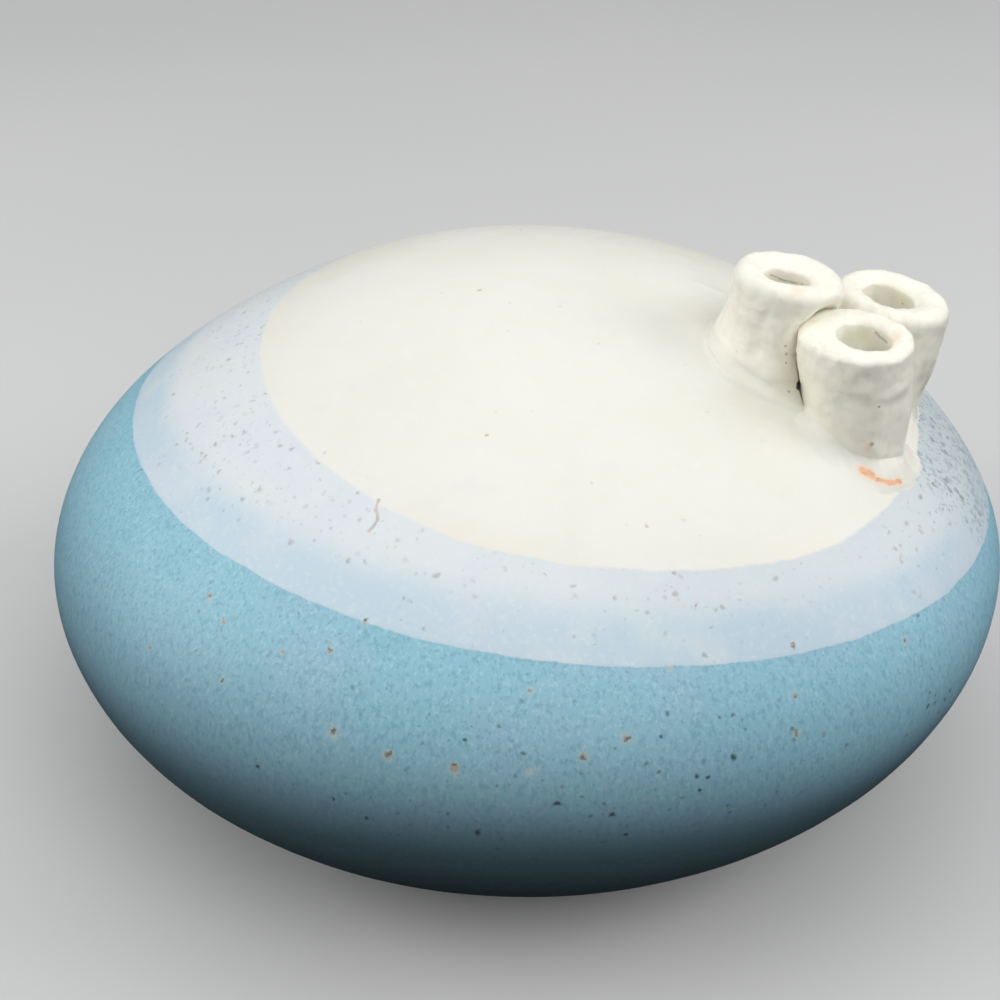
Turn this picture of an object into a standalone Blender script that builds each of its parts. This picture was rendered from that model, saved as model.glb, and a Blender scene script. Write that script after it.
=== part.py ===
# Three-spout pebble bud vase, hand-built glazed stoneware.
# Metres, +Z up, origin at the centre of the foot, front towards -Y.
import math

import bmesh
import bpy
from mathutils import Euler, Matrix, Vector

# ---------------------------------------------------------------- dimensions
BODY_RADIUS = 0.0800        # half of the widest diameter
BELLY_Z = 0.0410            # height of the belly line above the foot
CROWN_RISE = 0.0479         # crown above the belly line
KEEL_DROP = 0.0524          # depth of the unflattened lower curve
SHOULDER_FLAT = 0.043       # how far the shoulder is drawn in from an ellipse
HAUNCH_FLAT = 0.049         # the same for the lower curve
WALL = 0.0055               # clay wall
FLOOR_Z = 0.0070            # inner floor above the foot
FOOT_EDGE = 0.0014          # rounded edge of the foot
RECESS_R = 0.0310           # pushed-in middle of the foot
RECESS_D = 0.0012
GAP = 0.0003                # slip layer between neighbouring pieces

BEVEL_DEPTH = 0.0022        # bevelled joint at the belly line
BEVEL_HALF = 0.0026

BODY_STEPS = 64
SPOUT_STEPS = 32

# foot centre on the plan, lean in degrees towards +X and +Y, height above
# the dome, outer radius at the lip and at the foot, bore radius
SPOUTS = {
    "left": dict(x=0.0377, y=-0.0170, lean_x=5.5, lean_y=-3.5, height=0.0148,
                 r_lip=0.0081, r_foot=0.0083, bore=0.0043),
    "front": dict(x=0.0497, y=-0.0259, lean_x=0.0, lean_y=-4.0, height=0.0157,
                  r_lip=0.0084, r_foot=0.0086, bore=0.0049),
    "right": dict(x=0.0560, y=-0.0088, lean_x=7.5, lean_y=-4.0, height=0.0156,
                  r_lip=0.0084, r_foot=0.0083, bore=0.0045),
}
PAIRS = (("left", "front"), ("front", "right"), ("left", "right"))
STEM_BELOW = 0.0100         # tube carried below the dome before it is fitted
LIP_ROUND = 0.0019          # radius of the rounded lip
COLLAR_SPREAD = 0.0026      # width of a collar on the dome
COLLAR_RISE = 0.0042        # height of a collar up the spout
POCKET_R = 0.0060           # clear pocket between the three spouts

# ---------------------------------------------------------------- clean scene
for item in list(bpy.data.objects):
    bpy.data.objects.remove(item, do_unlink=True)

parts = bpy.data.collections.new("bud_vase")
cutters = bpy.data.collections.new("cutters")
bpy.context.scene.collection.children.link(parts)
bpy.context.scene.collection.children.link(cutters)

origin = bpy.data.objects.new("vase_origin", None)
parts.objects.link(origin)


# ---------------------------------------------------------------- helpers
def clay(name, colour, rough):
    mat = bpy.data.materials.new(name)
    mat.use_nodes = True
    shader = mat.node_tree.nodes["Principled BSDF"]
    shader.inputs["Base Color"].default_value = (*colour, 1.0)
    shader.inputs["Roughness"].default_value = rough
    shader.inputs["Metallic"].default_value = 0.0
    mat.diffuse_color = (*colour, 1.0)
    return mat


def upper_point(angle, grow=0.0):
    """Outer curve of the dome: angle 0 at the crown, 90 degrees at the belly."""
    draw_in = 1.0 - SHOULDER_FLAT * math.sin(2 * angle) ** 2
    return ((BODY_RADIUS + grow) * math.sin(angle) * draw_in,
            BELLY_Z + (CROWN_RISE + grow) * math.cos(angle) * draw_in)


def lower_point(angle, grow=0.0):
    """Outer curve of the bowl: angle 0 at the keel, 90 degrees at the belly."""
    draw_in = 1.0 - HAUNCH_FLAT * math.sin(2 * angle) ** 2
    return ((BODY_RADIUS + grow) * math.sin(angle) * draw_in,
            BELLY_Z - (KEEL_DROP + grow) * math.cos(angle) * draw_in)


def dome_height(x, y, grow=0.0):
    """Height of the dome's outer face above a point of the plan."""
    radius = math.hypot(x, y)
    low, high = 0.0, math.pi / 2
    for _ in range(50):
        mid = 0.5 * (low + high)
        if upper_point(mid, grow)[0] < radius:
            low = mid
        else:
            high = mid
    return upper_point(0.5 * (low + high), grow)[1]


def turned(name, profile, steps, collection, material=None, closed=False):
    """A lathe shape: a profile in the XZ plane, turned about Z."""
    mesh = bpy.data.meshes.new(name)
    bm = bmesh.new()
    verts = [bm.verts.new((r, 0.0, z)) for r, z in profile]
    for a, b in zip(verts, verts[1:]):
        bm.edges.new((a, b))
    if closed:
        bm.edges.new((verts[-1], verts[0]))
    bm.to_mesh(mesh)
    bm.free()
    obj = bpy.data.objects.new(name, mesh)
    collection.objects.link(obj)
    screw = obj.modifiers.new("Turn", "SCREW")
    screw.axis = "Z"
    screw.angle = 2 * math.pi
    screw.steps = steps
    screw.render_steps = steps
    screw.use_merge_vertices = True
    screw.merge_threshold = 0.00005
    screw.use_smooth_shade = True
    if material:
        mesh.materials.append(material)
        obj.parent = origin
    if collection is cutters:
        obj.hide_render = True
        obj.display_type = "WIRE"
    return obj


def block(name, size, matrix):
    """A block used as a cutter: one face through the matrix's origin, body on +Z."""
    bm = bmesh.new()
    bmesh.ops.create_cube(bm, size=size)
    bmesh.ops.translate(bm, verts=bm.verts, vec=(0.0, 0.0, size / 2))
    mesh = bpy.data.meshes.new(name)
    bm.to_mesh(mesh)
    bm.free()
    obj = bpy.data.objects.new(name, mesh)
    obj.matrix_world = matrix
    cutters.objects.link(obj)
    obj.hide_render = True
    obj.display_type = "WIRE"
    return obj


def cut(obj, cutter):
    mod = obj.modifiers.new("Cut " + cutter.name, "BOOLEAN")
    mod.operation = "DIFFERENCE"
    mod.solver = "EXACT"
    mod.object = cutter


def span(first, last, count):
    return [first + (last - first) * i / (count - 1) for i in range(count)]


# ---------------------------------------------------------------- materials
sky_glaze = clay("sky_blue_glaze", (0.28, 0.48, 0.57), 0.45)
cream_glaze = clay("cream_glaze", (0.82, 0.81, 0.74), 0.50)
seam_clay = clay("seam_clay", (0.30, 0.50, 0.59), 0.48)
spout_glaze = {
    "left": clay("spout_left_glaze", (0.80, 0.79, 0.71), 0.50),
    "front": clay("spout_front_glaze", (0.78, 0.77, 0.69), 0.50),
    "right": clay("spout_right_glaze", (0.79, 0.78, 0.70), 0.50),
}
collar_glaze = {
    "left": clay("collar_left_glaze", (0.81, 0.80, 0.73), 0.52),
    "front": clay("collar_front_glaze", (0.79, 0.78, 0.71), 0.52),
    "right": clay("collar_right_glaze", (0.80, 0.79, 0.72), 0.52),
}

# ---------------------------------------------------------------- the two shells
# The joint is a butt joint at the belly line, bevelled on the outside so that
# the seam coil can be pressed into it.
half_gap = GAP / 2
bevel_in = BODY_RADIUS - BEVEL_DEPTH


def angle_at_height(point, height):
    """Angle on a shell's curve at a given height above or below the belly."""
    low, high = 0.0, math.pi / 2
    for _ in range(50):
        mid = 0.5 * (low + high)
        if abs(point(mid)[1] - BELLY_Z) > height:
            low = mid
        else:
            high = mid
    return 0.5 * (low + high)


inner_rim = BODY_RADIUS - WALL

# dome, from the crown down the outside, round the rim and back up the inside
edge_up = angle_at_height(upper_point, BEVEL_HALF)
profile = [(0.0, upper_point(0.0)[1])]
profile += [upper_point(a) for a in span(0.0, edge_up, 17)[1:]]
profile += [(bevel_in, BELLY_Z + half_gap), (inner_rim, BELLY_Z + half_gap)]
inside = [upper_point(a, -WALL) for a in span(math.pi / 2, 0.0, 12)]
profile += inside[1:-1] + [(0.0, inside[-1][1])]
upper_shell = turned("upper_shell", profile, BODY_STEPS, parts, cream_glaze)

# bowl, from the inner floor out and up, over the rim and down the outside
edge_low = angle_at_height(lower_point, BEVEL_HALF)
floor_angle = angle_at_height(lambda a: lower_point(a, -WALL), BELLY_Z - FLOOR_Z)
foot_angle = angle_at_height(lower_point, BELLY_Z - FOOT_EDGE)
foot_r, foot_z = lower_point(foot_angle)
profile = [(0.0, FLOOR_Z)]
profile += [lower_point(a, -WALL) for a in span(floor_angle, math.pi / 2, 9)[:-1]]
profile += [(inner_rim, BELLY_Z - half_gap), (bevel_in, BELLY_Z - half_gap)]
profile += [lower_point(a) for a in span(edge_low, foot_angle, 13)]
profile += [(foot_r - 0.0013, 0.0005), (foot_r - 0.0028, 0.0)]
profile += [(RECESS_R, 0.0), (RECESS_R - 0.0035, RECESS_D), (0.0, RECESS_D)]
lower_shell = turned("lower_shell", profile, BODY_STEPS, parts, sky_glaze)

# seam coil: a wedge-shaped ring that fills the bevelled joint flush
seam_half = BEVEL_HALF - 1.6 * GAP
seam_up = angle_at_height(upper_point, seam_half)
seam_low = angle_at_height(lower_point, seam_half)
profile = [upper_point(a) for a in span(seam_up, math.pi / 2, 4)]
profile += [lower_point(a) for a in span(math.pi / 2, seam_low, 4)[1:]]
profile += [(bevel_in + 2.2 * GAP, BELLY_Z)]
seam_coil = turned("seam_coil", profile, BODY_STEPS, parts, seam_clay, closed=True)

# ---------------------------------------------------------------- spouts
# A solid of the whole body, a slip layer larger, shapes what sits on the dome.
profile = [(0.0, upper_point(0.0, GAP)[1])]
profile += [upper_point(a, GAP) for a in span(0.0, math.pi / 2, 25)[1:]]
profile += [(BODY_RADIUS + GAP, BELLY_Z - 0.02), (0.0, BELLY_Z - 0.02)]
dome_cutter = turned("dome_cutter", profile, 96, cutters)

frames = {}
for name, s in SPOUTS.items():
    base = Vector((s["x"], s["y"], dome_height(s["x"], s["y"])))
    lean = Euler((-math.radians(s["lean_y"]), math.radians(s["lean_x"]), 0.0))
    frames[name] = (base, lean)


def spout_profile(s):
    """Tube with a rounded lip, slightly waisted, running below the dome."""
    top, bottom = s["height"], -STEM_BELOW
    r_out, r_foot, bore = s["r_lip"], s["r_foot"], s["bore"]
    lip_half = 0.5 * (r_out - bore)
    mid_r = 0.5 * (r_out + bore)
    points = []
    for a in span(0.5 * math.pi, 0.0, 5):
        points.append((mid_r + lip_half * math.cos(a), top - LIP_ROUND * (1 - math.sin(a))))
    waist = 0.5 * (r_out + r_foot) - 0.0002
    points += [(waist, 0.5 * top), (r_foot, 0.0), (r_foot, bottom)]
    points += [(bore, bottom), (bore, 0.3 * top)]
    for a in span(math.pi, 0.5 * math.pi, 5)[:-1]:
        points.append((mid_r + lip_half * math.cos(a), top - LIP_ROUND * (1 - math.sin(a))))
    return points


def place(obj, name):
    base, lean = frames[name]
    obj.location = base
    obj.rotation_euler = lean


spouts = {}
for name, s in SPOUTS.items():
    obj = turned("spout_" + name, spout_profile(s), SPOUT_STEPS, parts,
                 spout_glaze[name], closed=True)
    place(obj, name)
    cut(obj, dome_cutter)
    spouts[name] = obj

# Neighbouring spouts are pressed together: each is flattened on the plane
# half way between them, with a slip layer left open.
sides = {}
for a, b in PAIRS:
    sa, sb = SPOUTS[a], SPOUTS[b]
    foot_a, lean_a = frames[a]
    foot_b, lean_b = frames[b]
    tip_a = foot_a + lean_a.to_matrix() @ Vector((0.0, 0.0, sa["height"]))
    tip_b = foot_b + lean_b.to_matrix() @ Vector((0.0, 0.0, sb["height"]))
    share = (sa["r_lip"] + sa["r_foot"]) / (sa["r_lip"] + sa["r_foot"] + sb["r_lip"] + sb["r_foot"])
    low = foot_a.lerp(foot_b, share)
    high = tip_a.lerp(tip_b, share)
    up = (high - low).normalized()
    across = ((foot_b + tip_b) - (foot_a + tip_a)).normalized()
    across = (across - up * across.dot(up)).normalized()
    along = up.cross(across)
    middle = 0.5 * (low + high)
    turn = Matrix((along, up, across)).transposed()
    if turn.determinant() < 0:
        turn = Matrix((-along, up, across)).transposed()
    face_b = turn.to_4x4()
    face_b.translation = middle + across * half_gap
    back = Matrix((-turn.col[0], turn.col[1], -turn.col[2])).transposed()
    face_a = back.to_4x4()
    face_a.translation = middle - across * half_gap
    # the block on the far side trims the near spout
    sides[a, b] = block("side_%s_%s" % (a, b), 0.06,
                        Matrix.Translation(-across * GAP) @ face_b)
    sides[b, a] = block("side_%s_%s" % (b, a), 0.06,
                        Matrix.Translation(across * GAP) @ face_a)

cut(spouts["left"], sides["left", "front"])
cut(spouts["front"], sides["front", "left"])
cut(spouts["front"], sides["front", "right"])
cut(spouts["right"], sides["right", "front"])

# ---------------------------------------------------------------- stem holes
for name, s in SPOUTS.items():
    reach = [(0.0, s["height"] * 0.5), (s["bore"], s["height"] * 0.5),
             (s["bore"], -0.022), (0.0, -0.022)]
    hole = turned("stem_hole_" + name, reach, SPOUT_STEPS, cutters)
    place(hole, name)
    cut(upper_shell, hole)

# ---------------------------------------------------------------- collars
# Each collar is a flared ring of clay between dome and spout, trimmed where
# the neighbouring spouts and collars meet it.
sleeves = {}
for name, s in SPOUTS.items():
    r = max(s["r_foot"], s["r_lip"]) + GAP
    sleeve = turned("sleeve_" + name,
                    [(0.0, 0.03), (r, 0.03), (r, -0.02), (0.0, -0.02)],
                    SPOUT_STEPS, cutters)
    place(sleeve, name)
    sleeves[name] = sleeve

# no collar clay lies in the pocket between the three spouts
pocket = turned("pocket", [(0.0, 0.03), (POCKET_R, 0.03), (POCKET_R, -0.03), (0.0, -0.03)],
                SPOUT_STEPS, cutters)
pocket.location = sum((frames[n][0] for n in SPOUTS), Vector()) / len(SPOUTS)

for name, s in SPOUTS.items():
    r = max(s["r_foot"], s["r_lip"]) + GAP
    inner = r - 0.0008
    profile = [(inner, COLLAR_RISE), (r + 0.0004, COLLAR_RISE)]
    for t in span(0.0, 1.0, 6)[1:]:
        profile.append((r + 0.0004 + COLLAR_SPREAD * t,
                        COLLAR_RISE * (1.0 - math.sin(0.5 * math.pi * t)) + 0.0006 * (1 - t)))
    profile += [(r + 0.0004 + COLLAR_SPREAD, -0.009), (inner, -0.009)]
    collar = turned("collar_" + name, profile, SPOUT_STEPS, parts,
                    collar_glaze[name], closed=True)
    place(collar, name)
    cut(collar, sleeves[name])
    cut(collar, dome_cutter)
    cut(collar, pocket)
    for other in SPOUTS:
        if other != name:
            cut(collar, sides[name, other])
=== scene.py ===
import math

import bmesh
import bpy
from mathutils import Euler, Matrix, Vector, noise
from mathutils.bvhtree import BVHTree


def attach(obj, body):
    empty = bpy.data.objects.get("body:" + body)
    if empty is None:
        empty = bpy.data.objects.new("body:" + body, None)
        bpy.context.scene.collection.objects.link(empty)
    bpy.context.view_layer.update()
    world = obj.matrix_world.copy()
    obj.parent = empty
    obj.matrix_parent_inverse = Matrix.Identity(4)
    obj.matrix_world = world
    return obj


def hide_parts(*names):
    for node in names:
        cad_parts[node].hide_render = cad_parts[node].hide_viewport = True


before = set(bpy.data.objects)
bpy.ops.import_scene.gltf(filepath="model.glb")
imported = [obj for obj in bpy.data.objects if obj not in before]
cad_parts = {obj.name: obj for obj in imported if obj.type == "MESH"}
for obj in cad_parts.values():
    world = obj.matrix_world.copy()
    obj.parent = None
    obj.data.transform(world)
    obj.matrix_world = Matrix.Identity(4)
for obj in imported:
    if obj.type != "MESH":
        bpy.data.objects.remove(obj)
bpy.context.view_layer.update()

# ------------------------------------------------------------------ dimensions
# millimetres, in the frame of the solids: z = 0 at the foot
MM = 0.001
R_EQ, Z_EQ = 80.0, 41.0
RISE, DROP = 47.9, 52.4
K_UP, K_LOW = 0.043, 0.049
WALL, FLOOR_Z = 5.5, 7.0
RECESS_R, RECESS_D = 31.0, 1.2
SEAM_HALF, SEAM_DEPTH = 2.6, 2.2
AROUND = 240                     # columns round the body
ROUND_SPOUT = 144                # columns round a spout

# foot centre, lean in degrees (x, y), height, lip slope (x, y), outer radius at
# the lip, the waist and the foot, bore radius, its offset and how far it bends off
# below, depth to which the lip is rounded outside and inside
SPOUTS = {
    "left": dict(foot=(37.9, -17.0), lean=(7.0, -3.5), top=14.8, slope=(-0.03, 0.00),
                 r=(8.1, 8.1, 9.0), bore=3.70, off=(-0.3, -0.8), bend=(-0.7, 0.8), lip=(2.0, 1.4), seed=11.3),
    "front": dict(foot=(49.4, -26.0), lean=(-3.0, -4.0), top=16.15, slope=(-0.10, 0.00),
                  r=(8.5, 8.9, 8.7), bore=4.25, off=(1.1, -0.2), bend=(0.0, 0.0), lip=(1.15, 1.2), seed=27.9),
    "right": dict(foot=(56.0, -8.8), lean=(6.6, -4.0), top=15.9, slope=(-0.05, 0.00),
                  r=(8.6, 8.7, 8.3), bore=4.20, off=(-0.8, 0.0), bend=(0.0, 0.0), lip=(2.0, 1.3), seed=41.7),
}
SINK = 0.45                      # how far a spout is set into the dome


def smooth(a, b, x):
    t = min(1.0, max(0.0, (x - a) / (b - a)))
    return t * t * (3.0 - 2.0 * t)


def span(a, b, n):
    return [a + (b - a) * i / (n - 1) for i in range(n)]


# ------------------------------------------------------------------ body curve
def upper(t, g=0.0):
    k = 1.0 - K_UP * math.sin(2 * t) ** 2
    return (R_EQ + g) * math.sin(t) * k, Z_EQ + (RISE + g) * math.cos(t) * k


def lower(t, g=0.0):
    k = 1.0 - K_LOW * math.sin(2 * t) ** 2
    return (R_EQ + g) * math.sin(t) * k, Z_EQ - (DROP + g) * math.cos(t) * k


def solve(test):
    """Angle from 0 to 90 degrees where test turns from true to false."""
    low, high = 0.0, math.pi / 2
    for _ in range(48):
        mid = 0.5 * (low + high)
        if test(mid):
            low = mid
        else:
            high = mid
    return 0.5 * (low + high)


# ------------------------------------------------------------------ the camera
ELEV, ROLL, FAR = math.radians(29.5), math.radians(-0.826), 301.435
AIM = Vector((-4.223, 0.0, Z_EQ + 4.571))
TOWARDS = Vector((0.0, -math.cos(ELEV), math.sin(ELEV)))
RIGHT0, UP0 = Vector((1, 0, 0)), Vector((0, math.sin(ELEV), math.cos(ELEV)))
RIGHT = RIGHT0 * math.cos(ROLL) + UP0 * math.sin(ROLL)
UP = UP0 * math.cos(ROLL) - RIGHT0 * math.sin(ROLL)
FOV = math.radians(32.0)

cam_data = bpy.data.cameras.new("camera")
cam_data.sensor_width = 36.0
cam_data.sensor_fit = "HORIZONTAL"
cam_data.lens = 18.0 / math.tan(FOV / 2)
cam_data.clip_start = 0.01
cam_data.clip_end = 50.0
cam = bpy.data.objects.new("camera", cam_data)
bpy.context.scene.collection.objects.link(cam)
pose = Matrix((RIGHT, UP, TOWARDS)).transposed().to_4x4()
pose.translation = (AIM + TOWARDS * FAR) * MM
cam.matrix_world = pose
bpy.context.scene.camera = cam


def sight(px, py):
    """Direction of a pixel of the 1000 x 1000 frame."""
    f = 500.0 / math.tan(FOV / 2)
    return (RIGHT * (px - 500.0) - UP * (py - 500.0) - TOWARDS * f).normalized()


def on_curve(px, py):
    """Point of the true body curve (mm) seen at a pixel."""
    eye, ray = AIM + TOWARDS * FAR, sight(px, py)

    def outside(p):
        r = math.hypot(p.x, p.y)
        if r >= R_EQ:
            return True
        curve = upper if p.z >= Z_EQ else lower
        edge = curve(solve(lambda t: curve(t)[0] < r))[1]
        return p.z > edge if p.z >= Z_EQ else p.z < edge

    dist = FAR - 100.0
    step = 2.0
    while outside(eye + ray * dist) and dist < FAR + 120.0:
        dist += step
    low, high = dist - step, dist
    for _ in range(30):
        mid = 0.5 * (low + high)
        if outside(eye + ray * mid):
            low = mid
        else:
            high = mid
    return eye + ray * high


SMEAR = (on_curve(698, 283), on_curve(724, 294.5))     # a trailing smear beside the left spout


def hand(p):
    """Small unevenness left by the hands, in mm along the normal."""
    a, b = SMEAR
    along = min(1.0, max(0.0, (p - a).dot(b - a) / (b - a).length_squared))
    ridge = 0.20 * math.exp(-((p - a.lerp(b, along)).length / 0.9) ** 2)
    return (0.26 * noise.noise(p / 41.0 + Vector((3.1, 0.7, 5.2)))
            + 0.10 * noise.noise(p / 17.0 + Vector((9.4, 2.2, 1.6)))
            + 0.025 * noise.noise(p / 6.0) + ridge)


def body_point(curve, t, angle):
    r, z = curve(t)
    r1, z1 = curve(t + 1e-4)
    r0, z0 = curve(t - 1e-4)
    tr, tz = r1 - r0, z1 - z0
    ln = math.hypot(tr, tz)
    nr, nz = -tz / ln, tr / ln
    if nr * (r if r > 1e-6 else 0.0) + nz * (z - Z_EQ) < 0:
        nr, nz = -nr, -nz
    c, s = math.cos(angle), math.sin(angle)
    p = Vector((r * c, r * s, z))
    return p + Vector((nr * c, nr * s, nz)) * hand(p)


def dome_z(x, y):
    """Height of the uneven dome."""
    r = math.hypot(x, y)
    t = solve(lambda t: upper(t)[0] < r)
    z = upper(t)[1]
    slope = (upper(t + 1e-3)[1] - z) / (upper(t + 1e-3)[0] - r)
    return z + hand(Vector((x, y, z))) * math.hypot(1.0, slope)


# ------------------------------------------------------------------ mesh helpers
def mesh_from_rows(name, rows, loop=False, caps=False, wrap=True, sharp=40.0):
    """Skin rows of points (mm). A row of one point is a pole. loop joins the last
    row to the first; caps closes the two ends of rows that do not wrap."""
    bm = bmesh.new()
    made = [[bm.verts.new(Vector(p) * MM) for p in row] for row in rows]
    pairs = list(zip(made, made[1:]))
    if loop:
        pairs.append((made[-1], made[0]))
    for a, b in pairs:
        n = max(len(a), len(b))
        for i in range(n if wrap else n - 1):
            j = (i + 1) % n
            if len(a) == 1:
                bm.faces.new((a[0], b[i], b[j]))
            elif len(b) == 1:
                bm.faces.new((a[i], b[0], a[j]))
            else:
                bm.faces.new((a[i], b[i], b[j], a[j]))
    if caps:
        bm.faces.new([row[0] for row in made])
        bm.faces.new([row[-1] for row in reversed(made)])
    bmesh.ops.recalc_face_normals(bm, faces=bm.faces)
    mesh = bpy.data.meshes.new(name)
    bm.to_mesh(mesh)
    bm.free()
    for face in mesh.polygons:
        face.use_smooth = True
    mesh.set_sharp_from_angle(angle=math.radians(sharp))
    obj = bpy.data.objects.new(name, mesh)
    bpy.context.scene.collection.objects.link(obj)
    return obj


def ring(r, z, n=AROUND):
    return [Vector((r * math.cos(2 * math.pi * i / n), r * math.sin(2 * math.pi * i / n), z))
            for i in range(n)]


def body_ring(curve, t, n=AROUND):
    return [body_point(curve, t, 2 * math.pi * i / n) for i in range(n)]


# ------------------------------------------------------------------ the body
seam_up = solve(lambda t: upper(t)[1] - Z_EQ > SEAM_HALF)
seam_low = solve(lambda t: Z_EQ - lower(t)[1] > SEAM_HALF)
bevel_r, rim_r = R_EQ - SEAM_DEPTH, R_EQ - WALL

# dome
rows = [[Vector((0, 0, upper(0.0)[1])) + Vector((0, 0, hand(Vector((0, 0, upper(0.0)[1])))))]]
rows += [body_ring(upper, t) for t in span(0.0, seam_up - 0.004, 104)[1:]]
rows += [body_ring(upper, t) for t in (seam_up - 0.002, seam_up)]
rows += [ring(bevel_r, Z_EQ + 0.02), ring(rim_r, Z_EQ + 0.02)]
inner = [upper(t, -WALL) for t in span(math.pi / 2, 0.0, 34)]
rows += [ring(r, z) for r, z in inner[1:-1]] + [[Vector((0, 0, inner[-1][1]))]]
upper_piece = mesh_from_rows("dome", rows)

# bowl
floor_t = solve(lambda t: Z_EQ - lower(t, -WALL)[1] > Z_EQ - FLOOR_Z)
foot_t = solve(lambda t: Z_EQ - lower(t)[1] > Z_EQ - 1.5)
foot_r = lower(foot_t)[0]
rows = [[Vector((0, 0, FLOOR_Z))]]
rows += [ring(lower(floor_t, -WALL)[0] * k, FLOOR_Z) for k in (0.25, 0.5, 0.75, 0.95)]
inner = [lower(t, -WALL) for t in span(floor_t, math.pi / 2, 26)]
rows += [ring(r, z) for r, z in inner[:-1]]
rows += [ring(rim_r, Z_EQ - 0.02), ring(bevel_r, Z_EQ - 0.02)]
rows += [body_ring(lower, t) for t in (seam_low, seam_low - 0.002)]
rows += [body_ring(lower, t) for t in span(seam_low - 0.004, foot_t, 72)]
for a in span(0.0, 1.0, 7)[1:]:
    # rounded edge of the foot
    rows.append(ring(foot_r - 0.5 - 2.4 * math.sin(0.5 * math.pi * a) ** 1.2,
                     1.25 * (1.0 - a) ** 2))
for r in (37.5, 34.0):
    rows.append(ring(r, 0.0))
for a in span(0.0, 1.0, 9):
    rows.append(ring(RECESS_R - 4.0 * a, RECESS_D * smooth(0, 1, a)))
rows += [ring(r, RECESS_D) for r in (21.0, 14.0, 7.0)]
rows += [[Vector((0, 0, RECESS_D))]]
lower_piece = mesh_from_rows("bowl", rows)

# coil that fills the joint, flush with both shells
rows = [body_ring(upper, t) for t in span(seam_up, math.pi / 2, 7)]
rows += [body_ring(lower, t) for t in span(math.pi / 2, seam_low, 7)[1:]]
rows += [ring(bevel_r + 0.1, Z_EQ - 0.01), ring(bevel_r + 0.1, Z_EQ + 0.01)]
seam_piece = mesh_from_rows("seam", rows, loop=True)

# ------------------------------------------------------------------ the spouts
AXES = {}
for name, s in SPOUTS.items():
    x, y = s["foot"]
    turn = Euler((-math.radians(s["lean"][1]), math.radians(s["lean"][0]), 0.0)).to_matrix()
    AXES[name] = (Vector((x, y, dome_z(x, y))), turn)

def near(deg, centre, width):
    """Bell curve of an angle, in degrees."""
    gap = (deg - centre + 180.0) % 360.0 - 180.0
    return math.exp(-(gap / width) ** 2)


def wall_radius(name, angle, v):
    """Outer radius of a spout; v is 0 at the foot and 1 under the lip."""
    s = SPOUTS[name]
    top, waist, foot = s["r"]
    r = foot + (waist - foot) * smooth(0.0, 0.5, v) + (top - waist) * smooth(0.45, 1.0, v)
    deg = math.degrees(angle) % 360.0
    if name == "left":
        # the foot spreads on the outer left; thumb dents run down the front
        r += 0.85 * near(deg, 190, 60) * (1 - smooth(0.0, 0.75, v))
        r -= 0.60 * near(deg, 284, 11) * (1 - smooth(0.60, 0.95, v))
        r += 0.26 * near(deg, 262, 12) * (1 - smooth(0.6, 1.0, v))
        r -= 0.30 * near(deg, 243, 9) * smooth(0.15, 0.4, v) * (1 - smooth(0.7, 1.0, v))
        r += 0.60 * near(deg, 350, 40) * smooth(0.3, 0.8, v)
    if name == "front":
        # two pared facets low on the front and right, under a crease
        for face, depth in ((308.0, 0.62), (260.0, 0.28)):
            turn = math.radians((deg - face + 180.0) % 360.0 - 180.0)
            if abs(turn) < 1.2:
                flat = (r - depth) / math.cos(turn)
                k = 0.60
                h = max(0.0, k - abs(flat - r)) / k
                cut = min(flat, r) - h * h * k * 0.25
                line = 0.735 + 0.02 * math.sin(3.0 * turn)
                r += (cut - r) * (1 - smooth(line - 0.10, line + 0.04, v)) * smooth(1.2, 0.9, abs(turn))
        r -= 0.85 * near(deg, 345, 40) * (1 - smooth(0.0, 0.72, v))
        r += 0.20 * near(deg, 140, 26) * smooth(0.5, 1.0, v)
        r -= 1.50 * near(deg, 190, 36) * (1 - smooth(0.25, 0.90, v))
    if name == "right":
        r += 0.40 * near(deg, 0, 45) * smooth(0.3, 0.8, v)
        r -= 0.7 * near(deg, 0, 60) * (1 - smooth(0.0, 0.5, v))
        r += 0.35 * (near(deg, 40, 22) + near(deg, 125, 24)) * smooth(0.6, 1.0, v)
        r += 0.80 * near(deg, 187, 36) * smooth(0.3, 0.8, v)
    # rolled edge under the lip
    r += {"left": 0.08, "front": 0.05, "right": 0.14}[name] * math.exp(-((v - 0.97) / 0.055) ** 2)
    q = Vector((math.cos(angle) * 1.6, math.sin(angle) * 1.6, v * 3.0 + s["seed"]))
    r += 0.22 * noise.noise(q) + 0.16 * noise.noise(q * 2.6) + 0.08 * noise.noise(q * 6.5)
    return r


def lip_height(name, angle):
    s = SPOUTS[name]
    q = Vector((math.cos(angle) * 1.1, math.sin(angle) * 1.1, s["seed"] * 1.7))
    h = s["top"] + s["r"][0] * (s["slope"][0] * math.cos(angle) + s["slope"][1] * math.sin(angle))
    return h + 0.34 * noise.noise(q) + 0.13 * noise.noise(q * 2.7)


def bore_radius(name, angle, depth):
    s = SPOUTS[name]
    q = Vector((math.cos(angle) * 0.9, math.sin(angle) * 0.9, s["seed"] * 0.6 - depth * 0.08))
    r = s["bore"] * (1 + 0.10 * noise.noise(q)) + 0.18 * noise.noise(q * 2.3) + 0.02 * depth
    if name == "left":
        # pinched narrow from front to back
        r *= 1 - 0.24 * math.sin(angle) ** 2
    return r


def spout_point(name, angle, radius, along, off=(0.0, 0.0)):
    base, turn = AXES[name]
    return base + turn @ Vector((radius * math.cos(angle) + off[0],
                                 radius * math.sin(angle) + off[1], along))


def foot_along(name, angle, radius, off, sink):
    """Distance along the axis at which a wall line meets the dome, less sink."""
    along = 0.0
    for _ in range(12):
        p = spout_point(name, angle, radius, along, off)
        along += (dome_z(p.x, p.y) - sink) - p.z
    return along


FOOT_LINE = {}


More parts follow.
